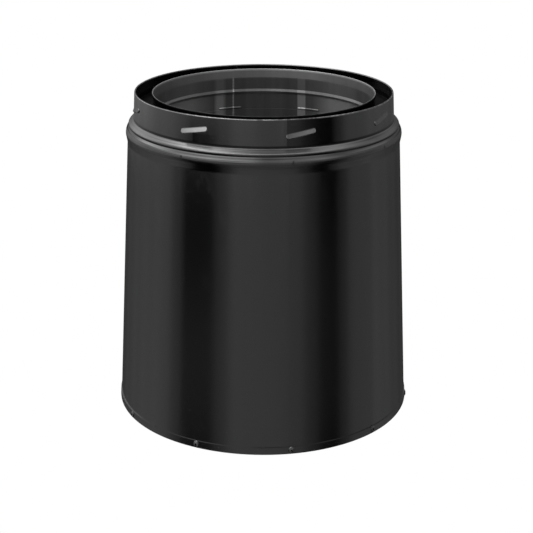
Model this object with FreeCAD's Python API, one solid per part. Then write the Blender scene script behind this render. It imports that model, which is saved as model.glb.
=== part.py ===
import FreeCAD, Part
import math
import os

# A double-wall insulated chimney pipe length with twist-lock ends, standing on its lower end.
# Millimetres. The origin is the centre of the lower rim, and +Z is the axis, towards the upper end.
# Azimuth is measured in degrees from the front (-Y), positive towards +X.

# Driving dimensions
flue_diameter = 203.2  # clear bore of the flue
wall_gap = 25.4  # from the flue's bore to the casing's outside, on each side
nominal_length = 228.6  # the next length's lower rim settles 1 mm lower, on the shoulder's slope
collar_height = 25.4  # from the nominal length up to the collar's rim
casing_sheet = 0.6
liner_sheet = 0.5
closure_sheet = 0.5
standoff_sheet = 0.8
nesting_gap = 0.05  # between two sheets that lie against each other

# Worked out from the driving dimensions
flue_radius = flue_diameter / 2
casing_radius = flue_radius + wall_gap
overall_height = nominal_length + collar_height
casing_inner_radius = casing_radius - casing_sheet

# Upper end of the casing: male collar, shoulder that the next length stands on, and lock bead
collar_radius = 121.9
rim_hem_height = 3.2
rim_round = 0.85
rim_gap = 0.5  # left open inside the rolled rim
collar_foot_z = 230.4
collar_foot_round = 1.1
shoulder_radius = 127.0
shoulder_z = 227.1
shoulder_round = 1.5
groove_radius = 126.0
groove_round = 0.7
groove_z = 224.9
casing_top_z = 223.2
casing_top_radius = 127.9
bead_radius = 129.3  # where the bead's two flanks would meet, before rounding
bead_z = 220.2
bead_round = 8.0
bead_foot_z = 211.6
bead_foot_round = 5.0
coupler_skirt_z = 203.0
stake_count = 8
stake_azimuth = -33.6
stake_z = 219.6
stake_radius = 1.6
stake_floor_radius = 128.35

# Twist-lock lances on the collar: short inclined ribs, pressed outwards, that rise to the right
lance_count = 8
lance_azimuth = 15.2
lance_z = 241.9
lance_sweep = 10.7  # degrees between the centres of the two round ends
lance_slope = 9.5
lance_round = 2.3
lance_bulge = 1.7  # how far its round edge would stand proud of the collar before the face is cut
lance_face_height = 1.3  # the face's own height above the collar, at its lower edge
lance_face_drop = 1.3  # from a lance's centre line down to the face's lower edge

# Lower end of the casing: female coupler folded round the casing's edge, lugs, and rivets
hem_height = 5.2
hem_round = 0.64
hem_z = 0.75  # the casing's lower edge, inside the fold
socket_radius = 125.75
lower_coupler_top_z = 38.0
lug_count = 8
lug_azimuth = 0.0
lug_z = 8.2
lug_round = 3.6
lug_inset = 0.15  # how far the ball of a lug is centred inside the socket's wall
rivet_count = 10
rivet_azimuth = 10.6
rivet_z = 2.9
rivet_hole_radius = 1.3
rivet_shank_radius = 1.2
rivet_head_radius = 2.5
rivet_head_height = 0.95
rivet_eye_radius = 0.7  # of the open centre that the pulled mandrel leaves
rivet_eye_floor = 126.6
rivet_bulb_radius = 2.0
rivet_bulb_height = 1.6

# Longitudinal seams
casing_seam_azimuth = 10.0
collar_seam_azimuth = 8.4
liner_seam_azimuth = 197.5
seam_fold_width = 8.0
seam_fold_depth = 1.5
seam_fold_foot_z = 42.0  # above the lower coupler
seam_fold_top_z = 201.0  # below the upper coupler's skirt
casing_seam_width = 0.7
casing_seam_depth = 0.25
collar_seam_width = 0.5
collar_seam_depth = 0.2
weld_round = 1.0
weld_rise = 0.15

# Liner: socket coupler at the top, plain spigot coupler at the bottom
mouth_z = overall_height - 1.3
mouth_curl_radius = 105.6
mouth_curl_height = 1.9
mouth_flare_radius = 104.3
liner_socket_radius = 103.0
liner_socket_top_z = 244.8
stop_bead_z = 231.5
stop_bead_rise = 1.4
stop_bead_half = 2.3
liner_coupler_foot_z = 204.0
liner_coupler_sheet = 0.6
liner_bell_radius = 102.4
liner_bell_z = 206.0
liner_neck_z = 202.0
liner_top_z = 215.2
liner_bottom_z = 10.5
inner_lance_count = 8
inner_lance_azimuth = 19.3
inner_lance_z = 216.5
inner_lance_sweep = 12.0
inner_lance_round = 1.1
inner_lance_inset = 0.1  # how far a lance's centre line lies outside the socket's wall
spigot_radius = 102.75
spigot_z = 6.6
spigot_top_z = 60.0
spigot_sheet = 0.55
spigot_lead = 0.65
spigot_lead_height = 2.6
spigot_bead_z = 27.8
spigot_bead_rise = 1.2
spigot_bead_half = 1.5

# Between the walls
top_closure_z = 240.0
bottom_closure_z = 31.0
closure_flange = 5.0
closure_bend = 1.2
closure_gap = 0.15  # between a closure ring and the sheets beside it
blanket_inner_radius = 103.8
blanket_outer_radius = 124.6
blanket_bottom_z = 38.0
blanket_top_z = 239.4
blanket_neck_radius = 120.8  # inside the collar
blanket_neck_z = 227.0
blanket_neck_height = 5.0
blanket_joint_azimuth = 90.0
blanket_joint_width = 1.5
standoff_count = 4
standoff_azimuth = 45.0
standoff_angle = 8.4
standoff_foot = 14.0
standoff_bend = 1.4
standoff_gap = 0.1  # between a foot and the sheet it is welded to
standoff_room = 1.0  # degrees of free width that the blanket's slits leave a stand-off
upper_standoff_z = 222.0
lower_standoff_z = 50.0

axis_point = FreeCAD.Vector(0, 0, 0)
up = FreeCAD.Vector(0, 0, 1)
outward = FreeCAD.Vector(1, 0, 0)
tangent = FreeCAD.Vector(0, 1, 0)


# ---- Sheet profiles ----

def unit(a, b):
    """Direction from a to b in the half plane of radius and height."""
    length = math.hypot(b[0] - a[0], b[1] - a[1])
    return (b[0] - a[0]) / length, (b[1] - a[1]) / length


def moved_corners(corners, shift):
    """The same polyline, moved sideways to its left by shift."""
    directions = [unit(a, b) for a, b in zip(corners, corners[1:])]
    normals = [(-dz, dr) for dr, dz in directions]
    before = normals[:1] + normals
    after = normals + normals[-1:]
    result = []
    for (r, z), (ar, az), (br, bz) in zip(corners, before, after):
        scale = shift / (1 + ar * br + az * bz)
        result.append((r + scale * (ar + br), z + scale * (az + bz)))
    return result


def rounded_edges(corners, rounds, shift):
    """Lines and arcs along a polyline moved by shift, with each inner corner rounded."""
    points = moved_corners(corners, shift)
    edges = []
    start = point(*points[0])
    for i in range(1, len(points) - 1):
        dr, dz = unit(points[i - 1], points[i])
        er, ez = unit(points[i], points[i + 1])
        turn = math.atan2(dr * ez - dz * er, dr * er + dz * ez)
        radius = rounds[i - 1] - shift * math.copysign(1, turn)
        cut = radius * math.tan(abs(turn) / 2)
        r, z = points[i]
        first = point(r - dr * cut, z - dz * cut)
        last = point(r + er * cut, z + ez * cut)
        bow = radius / math.cos(turn / 2) - radius
        half = math.hypot(er - dr, ez - dz)
        middle = point(r + (er - dr) / half * bow, z + (ez - dz) / half * bow)
        edges.append(Part.LineSegment(start, first).toShape())
        edges.append(Part.Arc(first, middle, last).toShape())
        start = last
    edges.append(Part.LineSegment(start, point(*points[-1])).toShape())
    return edges


def point(radius, height):
    return FreeCAD.Vector(radius, 0, height)


def turned_sheet(corners, rounds, thickness):
    """A sheet ring: its shown line, thickened to the left (a negative thickness goes to the right)."""
    shown = rounded_edges(corners, rounds, 0)
    hidden = rounded_edges(corners, rounds, thickness)
    ends = moved_corners(corners, thickness)
    first = Part.LineSegment(point(*corners[0]), point(*ends[0])).toShape()
    last = Part.LineSegment(point(*corners[-1]), point(*ends[-1])).toShape()
    wire = Part.Wire(Part.__sortEdges__(shown + [last] + hidden + [first]))
    return Part.Face(wire).revolve(axis_point, up, 360)


def ring_sector(inner, outer, low, high, angle, azimuth):
    """Part of a ring with a rectangular section, centred on an azimuth."""
    corners = [point(inner, low), point(outer, low), point(outer, high), point(inner, high)]
    face = Part.Face(Part.makePolygon(corners + corners[:1]))
    return face_sector(face, angle, azimuth)


def face_sector(face, angle, azimuth):
    solid = face.revolve(axis_point, up, angle)
    solid.rotate(axis_point, up, -angle / 2)
    return turned_to(solid, azimuth)


def turned_to(shape, azimuth):
    """A copy of something built on +X, moved round the axis to an azimuth."""
    result = shape.copy()
    result.rotate(axis_point, up, azimuth - 90)
    return result


def all_round(shape, count, azimuth):
    return [turned_to(shape, azimuth + 360 * i / count) for i in range(count)]


# ---- Pressed features, built on +X ----

def bent_rod(path_radius, tube_radius, sweep):
    """A round-ended rod bent to the pipe's radius, centred on +X."""
    disc = Part.Face(Part.Wire(Part.Circle(point(path_radius, 0), tangent, tube_radius).toShape()))
    rod = disc.revolve(axis_point, up, sweep)
    cap = Part.makeSphere(tube_radius, point(path_radius, 0))
    far_cap = cap.copy()
    far_cap.rotate(axis_point, up, sweep)
    rod = rod.fuse([cap, far_cap])
    rod.rotate(axis_point, up, -sweep / 2)
    return rod


def beyond_face(inset):
    """Everything outside a lance's sloping upper face, as a ring to cut with."""
    rise = lance_round + lance_face_drop
    top = (collar_radius - lance_face_height - inset, lance_round + rise)
    foot = (collar_radius + 2 * lance_face_height - inset, -lance_face_drop - rise)
    far = foot[0] + 2 * lance_round
    corners = [point(*top), point(*foot), point(far, foot[1]), point(far, top[1])]
    return Part.Face(Part.makePolygon(corners + corners[:1])).revolve(axis_point, up, 360)


def core(radius, middle_z):
    """Solid cylinder on the axis, tall enough to trim one pressed feature."""
    return Part.makeCylinder(radius, 40, point(0, middle_z - 20))


def collar_lance():
    """Twist-lock lance: a sloping face above a round lower edge, and the hollow behind it."""
    path = collar_radius + lance_bulge - lance_round
    small = lance_round - casing_sheet
    rib = bent_rod(path, lance_round, lance_sweep).cut(beyond_face(0))
    hollow = bent_rod(path, small, lance_sweep).cut(beyond_face(casing_sheet))
    hollow = hollow.fuse(bent_rod(collar_radius - casing_sheet - small, small, lance_sweep))
    for shape in (rib, hollow):
        shape.rotate(axis_point, outward, lance_slope)
        shape.translate(FreeCAD.Vector(0, 0, lance_z))
    return rib.cut(core(collar_radius - casing_sheet / 2, lance_z)), hollow


def liner_lance():
    """Rib pressed into the flue, just above the liner's upper edge, and the hollow behind it."""
    path = liner_socket_radius + inner_lance_inset
    small = inner_lance_round - liner_coupler_sheet
    rib = bent_rod(path, inner_lance_round, inner_lance_sweep)
    hollow = bent_rod(path, small, inner_lance_sweep)
    hollow = hollow.fuse(bent_rod(liner_socket_radius + liner_coupler_sheet, small, inner_lance_sweep))
    for shape in (rib, hollow):
        shape.translate(FreeCAD.Vector(0, 0, inner_lance_z))
    return rib.common(core(liner_socket_radius + liner_coupler_sheet / 2, inner_lance_z)), hollow


def quarter_arc(centre, radius):
    """Arc in the half plane of X and height, from above its centre to the centre's inward side."""
    turn = radius * math.sqrt(0.5)
    middle = point(centre - turn, turn)
    return Part.Arc(point(centre, radius), middle, point(centre - radius, 0)).toShape()


def lock_lug():
    """Hollow round lug of the lower socket, which runs under a lance of the length below, and its hole."""
    centre = socket_radius + lug_inset
    root = socket_radius + casing_sheet / 2
    hollow = lug_round - casing_sheet
    edges = [
        quarter_arc(centre, lug_round),
        quarter_arc(centre, hollow),
        Part.LineSegment(point(centre - lug_round, 0), point(centre - hollow, 0)).toShape(),
        Part.LineSegment(point(centre, lug_round), point(root, lug_round)).toShape(),
        Part.LineSegment(point(root, lug_round), point(root, hollow)).toShape(),
        Part.LineSegment(point(root, hollow), point(centre, hollow)).toShape(),
    ]
    dome = Part.Face(Part.Wire(Part.__sortEdges__(edges))).revolve(axis_point, outward, 360)
    hole = Part.makeCylinder(lug_round - casing_sheet / 2, 4, point(centre - 2, 0), outward)
    for shape in (dome, hole):
        shape.translate(FreeCAD.Vector(0, 0, lug_z))
    return dome, hole


def seam_line(radius, width, depth, low, high):
    """Thin box that cuts a seam's line into an outer face."""
    corner = FreeCAD.Vector(radius - depth, -width / 2, low)
    return Part.makeBox(depth + 2, width, high - low, corner)


def weld_ridge(bore_radius, low, high):
    """Low weld bead on the inside of a liner sheet."""
    rod = Part.makeCylinder(weld_round, high - low, point(bore_radius + weld_round - weld_rise, low))
    return rod.common(Part.makeCylinder(bore_radius + weld_rise, high - low, point(0, low)))


def rivet_hole(azimuth):
    hole = Part.makeCylinder(rivet_hole_radius, 8, point(casing_radius - 4, rivet_z), outward)
    return turned_to(hole, azimuth)


def pressed(sheet, rib, hollow, count, azimuth):
    """A sheet with a pressed rib or lug repeated round it."""
    for raised, opened in zip(all_round(rib, count, azimuth), all_round(hollow, count, azimuth)):
        sheet = sheet.fuse(raised).cut(opened)
    return sheet


# ---- Outer wall ----

def casing_line():
    """Outer line of the casing, from its upper edge down."""
    return [
        (casing_top_radius, casing_top_z),
        (bead_radius, bead_z),
        (casing_radius, bead_foot_z),
        (casing_radius, hem_z),
    ]


def rivet_azimuths():
    return [rivet_azimuth + 360 * i / rivet_count for i in range(rivet_count)]


def outer_casing():
    shell = turned_sheet(casing_line(), [bead_round, bead_foot_round], -casing_sheet)
    fold_angle = math.degrees(seam_fold_width / casing_inner_radius)
    fold_inner = casing_inner_radius - seam_fold_depth
    fold_outer = casing_inner_radius + casing_sheet / 4
    low, high = seam_fold_foot_z, seam_fold_top_z
    fold = ring_sector(fold_inner, fold_outer, low, high, fold_angle, casing_seam_azimuth)
    line = seam_line(casing_radius, casing_seam_width, casing_seam_depth, hem_height, bead_foot_z - 2)
    stake = Part.makeCylinder(stake_radius, 10, point(stake_floor_radius + stake_radius, stake_z))
    cuts = [turned_to(line, casing_seam_azimuth)]
    cuts += all_round(stake, stake_count, stake_azimuth)
    cuts += [rivet_hole(a) for a in rivet_azimuths()]
    return shell.fuse(fold).cut(cuts)


def upper_outer_coupler():
    hem_inner = collar_radius - 2 * casing_sheet - rim_gap
    inset = casing_sheet + nesting_gap
    nested = moved_corners(casing_line(), -inset)
    line = [
        (hem_inner, overall_height - rim_hem_height),
        (hem_inner, overall_height),
        (collar_radius, overall_height),
        (collar_radius, collar_foot_z),
        (shoulder_radius, shoulder_z),
        (groove_radius, groove_z),
        nested[1],
        nested[2],
        (nested[2][0], coupler_skirt_z),
    ]
    rounds = [rim_round, rim_round, collar_foot_round, shoulder_round, groove_round]
    rounds += [bead_round - inset, bead_foot_round + inset]
    ring = turned_sheet(line, rounds, -casing_sheet)
    rib, hollow = collar_lance()
    ring = pressed(ring, rib, hollow, lance_count, lance_azimuth)
    low, high = collar_foot_z + 3, overall_height - 1.5
    seam = seam_line(collar_radius, collar_seam_width, collar_seam_depth, low, high)
    return ring.cut(turned_to(seam, collar_seam_azimuth))


def lower_outer_coupler():
    hem_radius = casing_radius + nesting_gap + casing_sheet
    line = [
        (hem_radius, hem_height),
        (hem_radius, 0),
        (socket_radius, 0),
        (socket_radius, lower_coupler_top_z),
    ]
    ring = turned_sheet(line, [hem_round, hem_round], -casing_sheet)
    domes, holes = (all_round(shape, lug_count, lug_azimuth) for shape in lock_lug())
    for dome, hole in zip(domes, holes):
        ring = ring.cut(hole).fuse(dome)
    return ring.cut([rivet_hole(a) for a in rivet_azimuths()])


def hem_rivet():
    """Blind rivet: domed head with its open centre outside, shank, and the pulled bulb inside."""
    seat = casing_radius + casing_sheet + 2 * nesting_gap
    wall = socket_radius - nesting_gap
    crown = FreeCAD.Vector(seat + rivet_head_height, 0, rivet_eye_radius)
    shoulder = FreeCAD.Vector(seat + 0.7 * rivet_head_height, 0, 0.7 * rivet_head_radius)
    rim = FreeCAD.Vector(seat, 0, rivet_head_radius)
    outside = [
        FreeCAD.Vector(rivet_eye_floor, 0, 0),
        FreeCAD.Vector(rivet_eye_floor, 0, rivet_eye_radius),
        crown,
    ]
    inside = [
        rim,
        FreeCAD.Vector(seat, 0, rivet_shank_radius),
        FreeCAD.Vector(wall, 0, rivet_shank_radius),
        FreeCAD.Vector(wall, 0, rivet_bulb_radius),
        FreeCAD.Vector(wall - rivet_bulb_height / 2, 0, rivet_bulb_radius),
        FreeCAD.Vector(wall - rivet_bulb_height, 0, rivet_shank_radius),
        FreeCAD.Vector(wall - rivet_bulb_height, 0, 0),
        outside[0],
    ]
    edges = [Part.LineSegment(a, b).toShape() for a, b in zip(outside, outside[1:])]
    edges.append(Part.Arc(crown, shoulder, rim).toShape())
    edges += [Part.LineSegment(a, b).toShape() for a, b in zip(inside, inside[1:])]
    rivet = Part.Face(Part.Wire(edges)).revolve(axis_point, outward, 360)
    rivet.translate(FreeCAD.Vector(0, 0, rivet_z))
    return rivet


def hem_rivets():
    return Part.makeCompound(all_round(hem_rivet(), rivet_count, rivet_azimuth))


# ---- Inner wall ----

def inner_liner():
    line = [
        (liner_bell_radius, liner_top_z),
        (liner_bell_radius, liner_bell_z),
        (flue_radius, liner_neck_z),
        (flue_radius, liner_bottom_z),
    ]
    tube = turned_sheet(line, [3.0, 3.0], liner_sheet)
    ridge = weld_ridge(flue_radius, liner_bottom_z, liner_neck_z - 1)
    return tube.fuse(turned_to(ridge, liner_seam_azimuth))


def upper_liner_coupler():
    line = [
        (mouth_curl_radius, mouth_z - mouth_curl_height),
        (mouth_curl_radius, mouth_z),
        (mouth_flare_radius, mouth_z),
        (liner_socket_radius, liner_socket_top_z),
        (liner_socket_radius, stop_bead_z + stop_bead_half),
        (liner_socket_radius - stop_bead_rise, stop_bead_z),
        (liner_socket_radius, stop_bead_z - stop_bead_half),
        (liner_socket_radius, liner_coupler_foot_z),
    ]
    rounds = [0.62, 0.62, 4.0, 0.7, 0.7, 0.7]
    ring = turned_sheet(line, rounds, liner_coupler_sheet)
    rib, hollow = liner_lance()
    ring = pressed(ring, rib, hollow, inner_lance_count, inner_lance_azimuth)
    below = weld_ridge(liner_socket_radius, liner_top_z + 0.5, stop_bead_z - stop_bead_half - 0.8)
    above = weld_ridge(liner_socket_radius, stop_bead_z + stop_bead_half + 0.8, liner_socket_top_z - 0.8)
    return ring.fuse([turned_to(below, liner_seam_azimuth), turned_to(above, liner_seam_azimuth)])


def lower_liner_coupler():
    line = [
        (spigot_radius - spigot_lead, spigot_z),
        (spigot_radius, spigot_z + spigot_lead_height),
        (spigot_radius, spigot_bead_z - spigot_bead_half),
        (spigot_radius + spigot_bead_rise, spigot_bead_z),
        (spigot_radius, spigot_bead_z + spigot_bead_half),
        (spigot_radius, spigot_top_z),
    ]
    return turned_sheet(line, [3.0, 0.7, 0.7, 0.7], spigot_sheet)


# ---- Between the walls ----

def closure_ring(outer, inner, floor_z):
    """Flat ring with both edges turned up, which closes the space between the walls."""
    line = [
        (outer, floor_z + closure_flange),
        (outer, floor_z),
        (inner, floor_z),
        (inner, floor_z + closure_flange),
    ]
    return turned_sheet(line, [closure_bend, closure_bend], -closure_sheet)


def top_closure_ring():
    outer = collar_radius - casing_sheet - closure_gap
    inner = liner_socket_radius + liner_coupler_sheet + closure_gap
    return closure_ring(outer, inner, top_closure_z)


def bottom_closure_ring():
    return closure_ring(socket_radius - closure_gap, spigot_radius + closure_gap, bottom_closure_z)


def standoff(inner, outer, web_z, inner_way):
    """Z-shaped bracket: one foot on each wall and a web between them. inner_way is the inner foot's side."""
    half = standoff_sheet / 2
    line = [
        (inner + half, web_z + inner_way * standoff_foot),
        (inner + half, web_z),
        (outer - half, web_z),
        (outer - half, web_z - inner_way * standoff_foot),
    ]
    near = rounded_edges(line, [standoff_bend, standoff_bend], half)
    far = rounded_edges(line, [standoff_bend, standoff_bend], -half)
    near_ends = moved_corners(line, half)
    far_ends = moved_corners(line, -half)
    caps = [Part.LineSegment(point(*near_ends[i]), point(*far_ends[i])).toShape() for i in (0, -1)]
    return Part.Face(Part.Wire(Part.__sortEdges__(near + far + caps)))


def standoff_azimuths():
    return [standoff_azimuth + 360 * i / standoff_count for i in range(standoff_count)]


def upper_standoff(azimuth):
    inner = liner_socket_radius + liner_coupler_sheet + standoff_gap
    outer = casing_inner_radius - nesting_gap - casing_sheet - standoff_gap
    return face_sector(standoff(inner, outer, upper_standoff_z, 1), standoff_angle, azimuth)


def lower_standoff(azimuth):
    inner = spigot_radius + standoff_gap
    outer = casing_inner_radius - standoff_gap
    return face_sector(standoff(inner, outer, lower_standoff_z, -1), standoff_angle, azimuth)


def insulation_blanket():
    """One wrap of fibre blanket, with its butt joint and the slits that the stand-offs' webs pass through."""
    outline = [
        point(blanket_inner_radius, blanket_bottom_z),
        point(blanket_outer_radius, blanket_bottom_z),
        point(blanket_outer_radius, blanket_neck_z - blanket_neck_height),
        point(blanket_neck_radius, blanket_neck_z),
        point(blanket_neck_radius, blanket_top_z),
        point(blanket_inner_radius, blanket_top_z),
    ]
    blanket = Part.Face(Part.makePolygon(outline + outline[:1])).revolve(axis_point, up, 360)
    corner = FreeCAD.Vector(90, -blanket_joint_width / 2, 0)
    joint = Part.makeBox(50, blanket_joint_width, overall_height, corner)
    cuts = [turned_to(joint, blanket_joint_azimuth)]
    slit = 5 * standoff_sheet
    room = standoff_angle + standoff_room
    for azimuth in standoff_azimuths():
        for web_z in (upper_standoff_z, lower_standoff_z):
            cuts.append(ring_sector(90, 140, web_z - slit / 2, web_z + slit / 2, room, azimuth))
        foot_top = upper_standoff_z + standoff_foot + standoff_sheet
        foot_outer = blanket_inner_radius + standoff_sheet + standoff_gap
        cuts.append(ring_sector(90, foot_outer, upper_standoff_z, foot_top, room, azimuth))
    return blanket.cut(cuts)


def main():
    nodes = {
        "outer_casing": outer_casing(),
        "upper_outer_coupler": upper_outer_coupler(),
        "lower_outer_coupler": lower_outer_coupler(),
        "hem_rivets": hem_rivets(),
        "inner_liner": inner_liner(),
        "upper_liner_coupler": upper_liner_coupler(),
        "lower_liner_coupler": lower_liner_coupler(),
        "top_closure_ring": top_closure_ring(),
        "bottom_closure_ring": bottom_closure_ring(),
        "insulation_blanket": insulation_blanket(),
    }
    for i, azimuth in enumerate(standoff_azimuths(), 1):
        nodes[f"upper_standoff_{i}"] = upper_standoff(azimuth)
        nodes[f"lower_standoff_{i}"] = lower_standoff(azimuth)
    os.makedirs("parts", exist_ok=True)
    for name, shape in nodes.items():
        solids = len(shape.Solids)
        print(name, "solids", solids, "valid", shape.isValid(), "volume", round(shape.Volume))
        shape.exportStep(f"parts/{name}.step")


main()
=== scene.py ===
import math

import bpy
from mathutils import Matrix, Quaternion, Vector, noise


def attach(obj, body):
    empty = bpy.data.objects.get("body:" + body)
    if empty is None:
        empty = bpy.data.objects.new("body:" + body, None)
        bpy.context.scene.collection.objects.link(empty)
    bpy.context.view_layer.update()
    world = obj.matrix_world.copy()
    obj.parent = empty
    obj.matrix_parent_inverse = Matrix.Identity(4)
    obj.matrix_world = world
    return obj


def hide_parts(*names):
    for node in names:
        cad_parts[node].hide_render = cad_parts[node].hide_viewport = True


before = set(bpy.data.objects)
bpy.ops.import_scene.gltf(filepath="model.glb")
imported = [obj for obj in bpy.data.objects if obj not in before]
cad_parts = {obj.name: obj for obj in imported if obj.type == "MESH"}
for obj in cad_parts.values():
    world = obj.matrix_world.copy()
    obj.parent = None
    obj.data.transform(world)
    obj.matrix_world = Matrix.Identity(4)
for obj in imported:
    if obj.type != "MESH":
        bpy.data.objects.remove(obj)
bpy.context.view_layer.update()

# ---- Camera ----
camera_place = Vector((0.0, -1.3526, 0.5268))
camera_rise = 11.5  # degrees that the optical axis points above the horizon
camera_roll = 0.21  # degrees
camera_lens = 90.98  # mm
camera_sensor = 36.0  # mm wide
camera_shift = (0.0009, -1.4003)  # lens shift in picture widths, which keeps the uprights near parallel
camera_reach = (0.05, 50.0)  # nearest and furthest distance drawn
same_place = 0.0001  # how near to its place the camera must be for its lens shift to act

# ---- Places on the pipe ----
# A span is (from, to), of heights unless it says radii.
girth = 0.8  # once round the casing
above_all = 0.26
below_all = -0.01

rim_edge = (0.2536, above_all)
hem_edge = (below_all, 0.0002)
collar_wall = (0.2315, above_all)
collar_crease = (0.2309, 0.2324)
shoulder_slope = (0.2268, 0.2315)
rolled_part = (0.2165, 0.2305)  # lock bead, groove and shoulder, which the rollers marked
lance_heights = (0.236, 0.2475)
lance_radii = (0.1222, 0.124)
under_lance = (0.2318, 0.2392)
rivet_head_radii = (0.1284, 0.14)

collar_seam = 9.2  # azimuth
seam_flat = 9.0  # degrees over which the sheet springs flat beside its seam
seam_spring = [(0.0, 0.0), (0.02, 1.0), (0.5, 0.3), (1.0, 0.0)]
seam_shade = 22  # degrees over which the paint is duller beside the seam
seam_dullness = [(0.0, 0.0), (0.01, 0.45), (0.14, 0.45), (0.32, 0.55), (0.5, 0.68), (0.7, 0.4), (1.0, 0.0)]
lance_shade_start = -30.5  # azimuth where the dull patch under the left lance starts
lance_shade = 12  # degrees over which it fades
lance_shade_fade = [(0.0, 0.0), (0.03, 0.75), (1.0, 0.0)]
# Painted highlight on the lances' faces: its share by azimuth, strongest on the left lance and the right end
# of the middle one.
lance_painted_highlights = [(-60, 0.05), (-36, 0.7), (-30, 1.0), (-24, 1.0), (8, 0.05), (19, 0.6), (30, 0.05)]

liner_flare = (0.2448, above_all)
liner_lip = (0.2514, above_all)
liner_weld = -162.5  # azimuth
liner_weld_half = 0.35  # degrees
liner_weld_span = (0.0, 0.2445)
# Painted reflections: lighter upright strips on the liner's inner wall.
liner_reflection_span = (0.0, 0.2446)
liner_reflection_low = (0.2, 0.2295)  # where the painted reflections are strongest
liner_painted_reflections = [  # azimuth, half width, soft edge
    (158.4, 2.2, 0.3), (-154.5, 1.6, 2.4), (133.0, 7.0, 12.0), (-126.0, 10.0, 16.0),
]

wool_grain = 0.0016
wool_depth = 0.0009  # deepest hollow between tufts
wool_tufts = 110  # per metre

floor_half = 4.0
floor_drop = 0.0003  # how far the floor lies under the pipe


# ---- Shader helpers ----

class Nodes:
    """Short calls to add nodes to a material's or the world's tree."""

    def __init__(self, owner):
        owner.use_nodes = True
        self.tree = owner.node_tree
        self.tree.nodes.clear()

    def add(self, kind, inputs=None, **settings):
        node = self.tree.nodes.new(kind)
        for key, value in settings.items():
            setattr(node, key, value)
        for key, value in (inputs or {}).items():
            self.plug(value, node.inputs[key])
        return node

    def plug(self, value, socket):
        if isinstance(value, bpy.types.NodeSocket):
            self.tree.links.new(value, socket)
        elif isinstance(value, bpy.types.Node):
            self.tree.links.new(value.outputs[0], socket)
        else:
            socket.default_value = value

    def math(self, operation, a, b=0.0):
        return self.add("ShaderNodeMath", {0: a, 1: b}, operation=operation).outputs[0]

    def ramp(self, value, stops, ease="LINEAR"):
        """Piecewise curve of a value; a stop is (place, level or colour)."""
        node = self.add("ShaderNodeValToRGB", {0: value})
        bar = node.color_ramp
        bar.interpolation = ease
        while len(bar.elements) < len(stops):
            bar.elements.new(0.5)
        for element, (place, level) in zip(bar.elements, stops):
            element.position = place
        for element, (place, level) in zip(bar.elements, stops):
            element.color = level if isinstance(level, tuple) else (level, level, level, 1)
        return node.outputs[0]

    def mix(self, share, a, b):
        node = self.add("ShaderNodeMix", data_type="FLOAT")
        self.plug(share, node.inputs[0])
        self.plug(a, node.inputs[2])
        self.plug(b, node.inputs[3])
        return node.outputs[0]

    def mix_colour(self, share, a, b):
        node = self.add("ShaderNodeMix", data_type="RGBA")
        self.plug(share, node.inputs[0])
        self.plug(a, node.inputs[6])
        self.plug(b, node.inputs[7])
        return node.outputs[2]

    def azimuth_share(self, x, y):
        """Azimuth of a direction as 0 to 1, once round from the back."""
        azimuth = self.math("ARCTAN2", x, self.math("MULTIPLY", y, -1.0))
        return self.math("ADD", self.math("DIVIDE", azimuth, 2 * math.pi), 0.5)

    def stretched(self, across, along):
        """The sheet's surface laid flat, scaled to marks per metre across and along the axis."""
        flat = self.math("MULTIPLY", self.turn, girth * across)
        upright = self.math("MULTIPLY", self.height, along)
        return self.add("ShaderNodeCombineXYZ", {0: flat, 1: upright}).outputs[0]

    def noise(self, where, scale, detail=2.0, roughness=0.5, distortion=0.0):
        inputs = {"Vector": where, "Scale": scale, "Detail": detail,
                  "Roughness": roughness, "Distortion": distortion}
        return self.add("ShaderNodeTexNoise", inputs).outputs[0]


def grey(level):
    return (level, level, level, 1)


# ---- World ----
# Bands and gaps by azimuth, depths and heights by elevation, each a list of (angle, level).

front_band = [
    (-178, 0.01), (-157, 0.07), (-141, 0.14), (-125, 0.24), (-110, 0.34), (-95, 0.39), (-70, 0.39),
    (-16, 0.42), (8, 0.4), (25, 0.33), (36, 0.3), (75, 0.29), (96, 0.29), (104, 0.33), (111, 0.28),
    (116, 0.25), (133, 0.15), (149, 0.08), (178, 0.01),
]
upper_lights = [
    (-178, 0.5), (-158, 1.25), (-140, 2.4), (-124, 3.4), (-100, 2.5), (-86, 2.3), (-56, 3.4), (-12, 2.6),
    (0, 1.1), (25, 1.4), (50, 1.6), (75, 0.85), (120, 1.0), (158, 0.46), (178, 0.5),
]
left_gap = [(-86, 0.0), (-73, 0.5), (-65, 1.0), (-45, 1.0), (-34, 0.55), (-23, 0.0)]
left_gap_depth = [
    (-45, 1.0), (-25, 1.0), (-22.5, 0.75), (-20.5, 0.68), (-17.5, 0.9), (-15.5, 1.0), (-13.2, 1.0),
    (-12.4, 0.4), (-4, 0.0),
]
right_gap = [(28, 0.0), (40, 0.5), (49, 0.93), (59, 1.0), (67, 0.6), (77, 0.0)]
right_gap_depth = [(-45, 1.0), (-25, 1.0), (-21.5, 0.8), (-17, 0.85), (-14.5, 1.0), (-8, 1.0), (2, 0.0)]
light_foot = [(-13.6, 0.0), (-12.4, 0.12), (8, 0.2), (22, 1.0)]
high_boxes = [(24, 1.0), (32, 0.65), (46, 0.75), (53, 1.3), (60, 4.0), (68, 2.6)]
overhead = [(66, 0.0), (82, 1.0)]
overhead_level = 1.0


def around(azimuth):
    """An azimuth as a place on a ramp that runs once round from the back."""
    return azimuth / 360 + 0.5


def aloft(elevation):
    """An elevation as a place on a ramp that runs from straight down to straight up."""
    return elevation / 180 + 0.5


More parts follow.
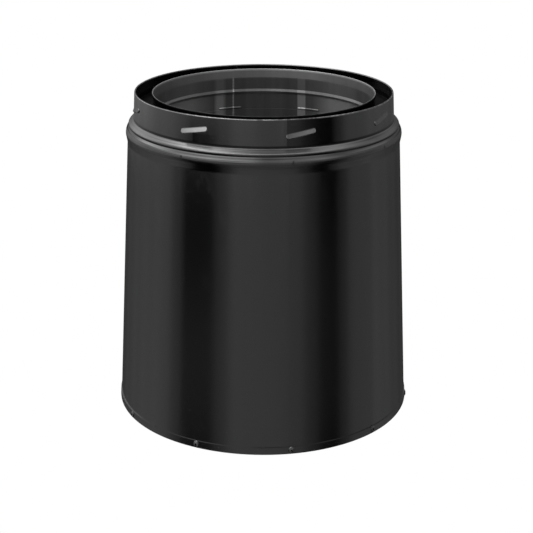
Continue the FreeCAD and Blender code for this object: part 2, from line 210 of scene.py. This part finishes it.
def studio_world():
    """White to the camera; to the object, a band of light panels at its own height and soft boxes above."""
    world = bpy.data.worlds.new("studio")
    bpy.context.scene.world = world
    n = Nodes(world)
    way = n.add("ShaderNodeTexCoord").outputs["Generated"]
    x, y, z = n.add("ShaderNodeSeparateXYZ", {0: way}).outputs
    turn = n.azimuth_share(x, y)
    lift = n.math("ADD", n.math("DIVIDE", n.math("ARCSINE", z), math.pi), 0.5)

    def curve(value, scale, stops):
        return n.ramp(value, [(scale(angle), level) for angle, level in stops], "EASE")

    band = curve(turn, around, front_band)
    boxes = n.math("MULTIPLY", curve(turn, around, upper_lights), curve(lift, aloft, high_boxes))
    lights = n.mix(curve(lift, aloft, overhead), boxes, overhead_level)
    level = n.mix(curve(lift, aloft, light_foot), band, lights)
    for gap, depth in ((left_gap, left_gap_depth), (right_gap, right_gap_depth)):
        dark = n.math("MULTIPLY", curve(turn, around, gap), curve(lift, aloft, depth))
        level = n.math("MULTIPLY", level, n.math("SUBTRACT", 1.0, dark))
    shown = n.add("ShaderNodeBackground", {0: grey(1.0), 1: 1.0})
    lighting = n.add("ShaderNodeBackground", {0: grey(1.0), 1: level})
    camera_ray = n.add("ShaderNodeLightPath").outputs["Is Camera Ray"]
    mixed = n.add("ShaderNodeMixShader", {0: camera_ray, 1: lighting, 2: shown})
    n.add("ShaderNodeOutputWorld", {0: mixed})


# ---- Materials ----

def surface(name):
    """A new material's nodes, with a point's position, place round the axis, height and radius."""
    material = bpy.data.materials.new(name)
    n = Nodes(material)
    n.place = n.add("ShaderNodeTexCoord").outputs["Object"]
    x, y, n.height = n.add("ShaderNodeSeparateXYZ", {0: n.place}).outputs
    n.turn = n.azimuth_share(x, y)
    n.radius = n.math("SQRT", n.math("ADD", n.math("MULTIPLY", x, x), n.math("MULTIPLY", y, y)))
    return material, n


def between(n, value, span, blend):
    """1 inside a span of a value, falling to 0 over blend outside it."""
    low, high = span
    up = n.add("ShaderNodeMapRange", {0: value, 1: low - blend, 2: low})
    down = n.add("ShaderNodeMapRange", {0: value, 1: high, 2: high + blend, 3: 1.0, 4: 0.0})
    return n.math("MULTIPLY", up, down)


def strip(n, azimuth, half, blend):
    """1 on an upright strip round an azimuth, in degrees."""
    return between(n, n.turn, (around(azimuth - half), around(azimuth + half)), blend / 360)


def from_azimuth(n, azimuth, width):
    """0 at an azimuth, rising to 1 that many degrees further right."""
    return n.math("MULTIPLY", n.math("SUBTRACT", n.turn, around(azimuth)), 360 / width)


def finish(n, bump_layers, **inputs):
    """Principled shader with bump layers; a layer is (height, strength, distance)."""
    normal = None
    for height, strength, distance in bump_layers:
        bump = n.add("ShaderNodeBump", {"Height": height, "Strength": strength, "Distance": distance})
        if normal:
            n.plug(normal, bump.inputs["Normal"])
        normal = bump.outputs[0]
    sockets = {key.replace("_", " "): value for key, value in inputs.items()}
    shader = n.add("ShaderNodeBsdfPrincipled", sockets)
    if normal:
        n.plug(normal, shader.inputs["Normal"])
    n.add("ShaderNodeOutputMaterial", {0: shader})


def paint_colour(n, cloud):
    """Near black, with specks, chips to the metal on rim and hem, and a painted highlight on the lances'
    faces.
    """
    specks = n.ramp(n.noise(n.place, 700.0, 1.0), [(0.77, 0.0), (0.8, 1.0)])
    chips = n.ramp(n.noise(n.place, 260.0, 3.0), [(0.48, 0.0), (0.6, 1.0)])
    rim = between(n, n.height, rim_edge, 0.0004)
    hem = between(n, n.height, hem_edge, 0.0005)
    worn = n.math("MULTIPLY", n.math("MAXIMUM", rim, hem), chips)
    lance = n.math("MULTIPLY", between(n, n.radius, lance_radii, 0.0002),
                   between(n, n.height, lance_heights, 0.0002))
    # Painted highlight: the lances' faces turned a lighter grey by azimuth.
    lance_highlight_share = n.ramp(n.turn, [(around(azimuth), level) for azimuth, level in lance_painted_highlights])
    base = n.mix_colour(cloud, grey(0.0004), grey(0.0008))
    base = n.mix_colour(n.math("MULTIPLY", specks, 0.5), base, grey(0.05))
    base = n.mix_colour(n.math("MULTIPLY", worn, 0.6), base, grey(0.06))
    lance_highlight_grey = n.mix_colour(cloud, grey(0.07), grey(0.11))
    return n.mix_colour(n.math("MULTIPLY", lance, lance_highlight_share), base, lance_highlight_grey)


def paint_roughness(n, cloud):
    """Satin, with smears, and rougher on the shoulder's slope."""
    smears = n.ramp(n.noise(n.stretched(60.0, 18.0), 1.0, 5.0, 0.6, 0.8), [(0.56, 0.0), (0.74, 1.0)])
    rough = n.math("ADD", n.mix(cloud, 0.1, 0.15), n.math("MULTIPLY", smears, 0.07))
    slope = between(n, n.height, shoulder_slope, 0.0006)
    return n.math("ADD", rough, n.math("MULTIPLY", slope, 0.17))


def paint_gloss(n, on_collar, rolled_here, roll_marks):
    """Gloss, lower in the crease, beside the seam and under the left lance, and streaky where rolled."""
    crease = n.math("MULTIPLY", between(n, n.height, collar_crease, 0.0005), 0.7)
    beside_seam = n.ramp(from_azimuth(n, collar_seam, seam_shade), seam_dullness)
    beside_seam = n.math("MULTIPLY", beside_seam, on_collar)
    below_lance = n.ramp(from_azimuth(n, lance_shade_start, lance_shade), lance_shade_fade)
    below_lance = n.math("MULTIPLY", below_lance, between(n, n.height, under_lance, 0.0015))
    dull = n.math("MAXIMUM", crease, n.math("MAXIMUM", beside_seam, below_lance))
    streaky = n.mix(rolled_here, 1.0, n.ramp(roll_marks, [(0.36, 0.5), (0.6, 1.15)]))
    gloss = n.math("MULTIPLY", n.math("MULTIPLY", n.math("SUBTRACT", 1.0, dull), streaky), 0.5)
    upright = n.noise(n.stretched(38.0, 1.2), 1.0, 4.0, 0.6)
    return n.math("MULTIPLY", gloss, n.mix(upright, 0.85, 1.15))


def painted_black():
    """Satin high-temperature paint, with orange peel, handling marks, roll marks, worn edges and a painted
    highlight on the lances.
    """
    material, n = surface("satin_black_paint")
    cloud = n.noise(n.place, 9.0, 4.0)
    roll_marks = n.noise(n.stretched(9.0, 1500.0), 1.0, 3.0, 0.6)
    rolled_here = between(n, n.height, rolled_part, 0.003)
    on_collar = between(n, n.height, collar_wall, 0.001)
    peel = n.noise(n.place, 900.0, 2.0)
    rolled = n.mix(n.math("MULTIPLY", rolled_here, 0.9), 0.5, roll_marks)
    spring = n.ramp(from_azimuth(n, collar_seam, seam_flat), seam_spring)
    spring = n.math("MULTIPLY", spring, on_collar)
    layers = [(peel, 0.05, 0.0001), (rolled, 0.3, 0.0002), (spring, 1.0, 0.0002)]
    gloss = paint_gloss(n, on_collar, rolled_here, roll_marks)
    finish(n, layers, Base_Color=paint_colour(n, cloud), Roughness=paint_roughness(n, cloud), IOR=1.8,
           Specular_IOR_Level=gloss)
    return material


def liner_reflection_strips(n):
    """Upright strips of painted reflection on the liner, strongest below its ring bead."""
    rub_and_painted_reflection = None
    for azimuth, half, blend in liner_painted_reflections:
        reflection_strip = strip(n, azimuth, half, blend)
        rub_and_painted_reflection = n.math("MAXIMUM", rub_and_painted_reflection, reflection_strip) if rub_and_painted_reflection else reflection_strip
    rub_and_painted_reflection = n.math("MULTIPLY", rub_and_painted_reflection, n.mix(between(n, n.height, liner_reflection_low, 0.001), 0.3, 1.0))
    return n.math("MULTIPLY", rub_and_painted_reflection, between(n, n.height, liner_reflection_span, 0.0005))


def faces_outward(n):
    """1 on surfaces that face away from the axis."""
    facing = n.add("ShaderNodeNewGeometry").outputs["Normal"]
    level_place = n.add("ShaderNodeVectorMath", {0: n.place, 1: (1.0, 1.0, 0.0)}, operation="MULTIPLY")
    outward = n.add("ShaderNodeVectorMath", {0: level_place}, operation="NORMALIZE")
    share = n.add("ShaderNodeVectorMath", {0: outward, 1: facing}, operation="DOT_PRODUCT").outputs["Value"]
    return n.ramp(share, [(0.02, 0.0), (0.12, 1.0)])


def liner_steel():
    """Dark stainless sheet with rolling marks and its weld, with painted reflections, a painted highlight on
    its flare and lip, and painted shade on the sides that face outward.
    """
    material, n = surface("stainless_sheet")
    cloud = n.noise(n.place, 14.0, 4.0)
    grain = n.noise(n.stretched(900.0, 14.0), 1.0, 4.0, 0.65)
    streaks = n.ramp(n.noise(n.stretched(55.0, 4.0), 1.0, 3.0, 0.5), [(0.3, 0.0), (0.7, 1.0)])
    weld = n.math("MULTIPLY", strip(n, liner_weld, liner_weld_half, 0.2),
                  between(n, n.height, liner_weld_span, 0.0005))
    ripple = n.add("ShaderNodeTexWave", {"Vector": n.place, "Scale": 220.0, "Distortion": 1.5, "Detail": 1.0},
                   bands_direction="Z").outputs[1]
    # Painted highlight: the liner's flare and lip lightened to a paler grey.
    flare_painted_highlight = n.math("MULTIPLY", between(n, n.height, liner_flare, 0.0015), 0.2)
    lip_painted_highlight = n.math("MULTIPLY", between(n, n.height, liner_lip, 0.0006), 0.85)
    # Painted shade: surfaces facing away from the axis are made black and unreflective, so the front of the
    # lip reads dark.
    black = faces_outward(n)
    base = n.mix_colour(streaks, grey(0.04), grey(0.062))
    base = n.mix_colour(n.math("MAXIMUM", flare_painted_highlight, lip_painted_highlight), base, grey(0.17))
    # Painted reflections: the liner lightened in upright strips.
    base = n.mix_colour(n.math("MULTIPLY", liner_reflection_strips(n), 0.75), base, grey(0.2))
    base = n.mix_colour(weld, base, n.mix_colour(ripple, grey(0.1), grey(0.2)))
    # Painted shade on the outward-facing side.
    base = n.mix_colour(black, base, grey(0.0008))
    rough = n.math("ADD", n.mix(cloud, 0.2, 0.32), n.math("MULTIPLY", grain, 0.08))
    layers = [(grain, 0.1, 0.0001), (n.math("MULTIPLY", weld, ripple), 0.5, 0.0002)]
    finish(n, layers, Base_Color=base, Metallic=n.mix(black, 0.5, 0.0), Roughness=rough,
           Specular_IOR_Level=n.mix(black, 0.2, 0.04))
    return material


def matt_black():
    """Matt black coating on the closure rings, with a little dust in it."""
    material, n = surface("matt_black")
    dust = n.ramp(n.noise(n.place, 160.0, 5.0, 0.7), [(0.55, 0.0), (0.8, 1.0)])
    base = n.mix_colour(dust, grey(0.0006), grey(0.004))
    grit = n.noise(n.place, 1400.0, 2.0)
    finish(n, [(grit, 0.25, 0.0002)], Base_Color=base, Roughness=0.6, Specular_IOR_Level=0.03)
    return material


def rivet_steel():
    """Black rivets whose heads are worn to metal."""
    material, n = surface("rubbed_rivet")
    rub_and_painted_reflection = n.ramp(n.noise(n.place, 420.0, 3.0), [(0.42, 0.0), (0.62, 1.0)])
    rub_and_painted_reflection = n.math("MULTIPLY", rub_and_painted_reflection, between(n, n.radius, rivet_head_radii, 0.0003))
    base = n.mix_colour(rub_and_painted_reflection, grey(0.003), grey(0.09))
    scratches = n.noise(n.place, 1800.0, 2.0)
    finish(n, [(scratches, 0.15, 0.0001)], Base_Color=base, Metallic=rub_and_painted_reflection, Roughness=n.mix(rub_and_painted_reflection, 0.2, 0.34))
    return material


def zinc_sheet():
    """Zinc-coated sheet with its spangle."""
    material, n = surface("zinc_sheet")
    spangle = n.add("ShaderNodeTexVoronoi", {"Vector": n.place, "Scale": 190.0}).outputs["Color"]
    shade = n.add("ShaderNodeSeparateXYZ", {0: spangle}).outputs[0]
    scratches = n.noise(n.stretched(30.0, 1200.0), 1.0, 3.0)
    base = n.mix_colour(shade, grey(0.42), grey(0.62))
    rough = n.math("ADD", n.mix(shade, 0.28, 0.42), n.math("MULTIPLY", scratches, 0.08))
    finish(n, [(scratches, 0.1, 0.0001)], Base_Color=base, Metallic=1.0, Roughness=rough)
    return material


def fibre_wool():
    """Off-white ceramic fibre: long tangled strands with small hard specks."""
    material, n = surface("ceramic_fibre")
    strands = n.noise(n.stretched(420.0, 1500.0), 1.0, 6.0, 0.7, 2.5)
    tufts = n.noise(n.place, 120.0, 5.0, 0.6)
    shot = n.ramp(n.noise(n.place, 1500.0, 1.0), [(0.74, 0.0), (0.78, 1.0)])
    base = n.mix_colour(strands, (0.66, 0.63, 0.57, 1), (0.88, 0.86, 0.81, 1))
    base = n.mix_colour(n.math("MULTIPLY", shot, 0.6), base, (0.42, 0.4, 0.36, 1))
    layers = [(tufts, 0.6, 0.001), (strands, 0.8, 0.0004)]
    finish(n, layers, Base_Color=base, Roughness=0.95, Sheen_Weight=0.3)
    return material


def dress(material, *nodes):
    for name in nodes:
        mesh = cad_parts[name].data
        mesh.materials.clear()
        mesh.materials.append(material)


# ---- Insulation ----

def fibre_blanket(material):
    """The blanket as an uneven fibrous wrap inside its CAD space, with its joint and slits."""
    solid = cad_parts["insulation_blanket"]
    mesh = solid.data.copy()
    mesh.name = "fibre_blanket"
    wrap = bpy.data.objects.new("fibre_blanket", mesh)
    bpy.context.scene.collection.objects.link(wrap)
    remesh = wrap.modifiers.new("remesh", "REMESH")
    remesh.mode = "VOXEL"
    remesh.voxel_size = wool_grain
    graph = bpy.context.evaluated_depsgraph_get()
    wool = bpy.data.meshes.new_from_object(wrap.evaluated_get(graph))
    wrap.modifiers.clear()
    wrap.data = wool
    normals = [vertex.normal.copy() for vertex in wool.vertices]
    for vertex, outward in zip(wool.vertices, normals):
        tufts = noise.fractal(vertex.co * wool_tufts, 1.0, 2.0, 4)
        vertex.co -= outward * wool_depth * min(max(0.5 + tufts, 0.0), 1.0)
    wool.polygons.foreach_set("use_smooth", [True] * len(wool.polygons))
    wool.materials.clear()
    wool.materials.append(material)
    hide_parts("insulation_blanket")
    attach(wrap, "root")


# ---- Stage ----

def floor():
    """White to the camera, pale to the light, clear from below, and not reflected in the pipe."""
    half = floor_half
    corners = [(-half, -half, 0), (half, -half, 0), (half, half, 0), (-half, half, 0)]
    mesh = bpy.data.meshes.new("floor")
    mesh.from_pydata(corners, [], [(0, 1, 2, 3)])
    plane = bpy.data.objects.new("floor", mesh)
    bpy.context.scene.collection.objects.link(plane)
    plane.location.z = -floor_drop
    plane.visible_glossy = False
    material = bpy.data.materials.new("white_floor")
    n = Nodes(material)
    glow = n.add("ShaderNodeEmission", {0: grey(1.0), 1: 1.0})
    pale = n.add("ShaderNodeBsdfDiffuse", {0: grey(0.8)})
    clear = n.add("ShaderNodeBsdfTransparent")
    camera_ray = n.add("ShaderNodeLightPath").outputs["Is Camera Ray"]
    from_below = n.add("ShaderNodeNewGeometry").outputs["Backfacing"]
    seen = n.add("ShaderNodeMixShader", {0: camera_ray, 1: pale, 2: glow})
    n.add("ShaderNodeOutputMaterial", {0: n.add("ShaderNodeMixShader", {0: from_below, 1: seen, 2: clear})})
    mesh.materials.append(material)


def camera():
    """A long lens, shifted far down only while the camera stands in its own place."""
    data = bpy.data.cameras.new("camera")
    data.sensor_width = camera_sensor
    data.lens = camera_lens
    cam = bpy.data.objects.new("camera", data)
    bpy.context.scene.collection.objects.link(cam)
    cam.rotation_mode = "QUATERNION"
    cam.location = camera_place
    tilt = Quaternion((1, 0, 0), math.radians(90 + camera_rise))
    cam.rotation_quaternion = tilt @ Quaternion((0, 0, 1), math.radians(camera_roll))
    data.clip_start, data.clip_end = camera_reach
    for path, amount in zip(("shift_x", "shift_y"), camera_shift):
        driver = data.driver_add(path).driver
        variable = driver.variables.new()
        variable.name = "y"
        variable.targets[0].id = cam
        variable.targets[0].data_path = "location[1]"
        driver.expression = f"{amount} if abs(y - {camera_place.y}) < {same_place} else 0.0"
    bpy.context.scene.camera = cam


dress(painted_black(), "outer_casing", "upper_outer_coupler", "lower_outer_coupler")
dress(liner_steel(), "inner_liner", "upper_liner_coupler", "lower_liner_coupler")
dress(matt_black(), "top_closure_ring", "bottom_closure_ring")
dress(rivet_steel(), "hem_rivets")
dress(zinc_sheet(), *[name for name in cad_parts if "standoff" in name])
fibre_blanket(fibre_wool())
studio_world()
floor()
camera()
bpy.context.scene.view_settings.view_transform = "Standard"
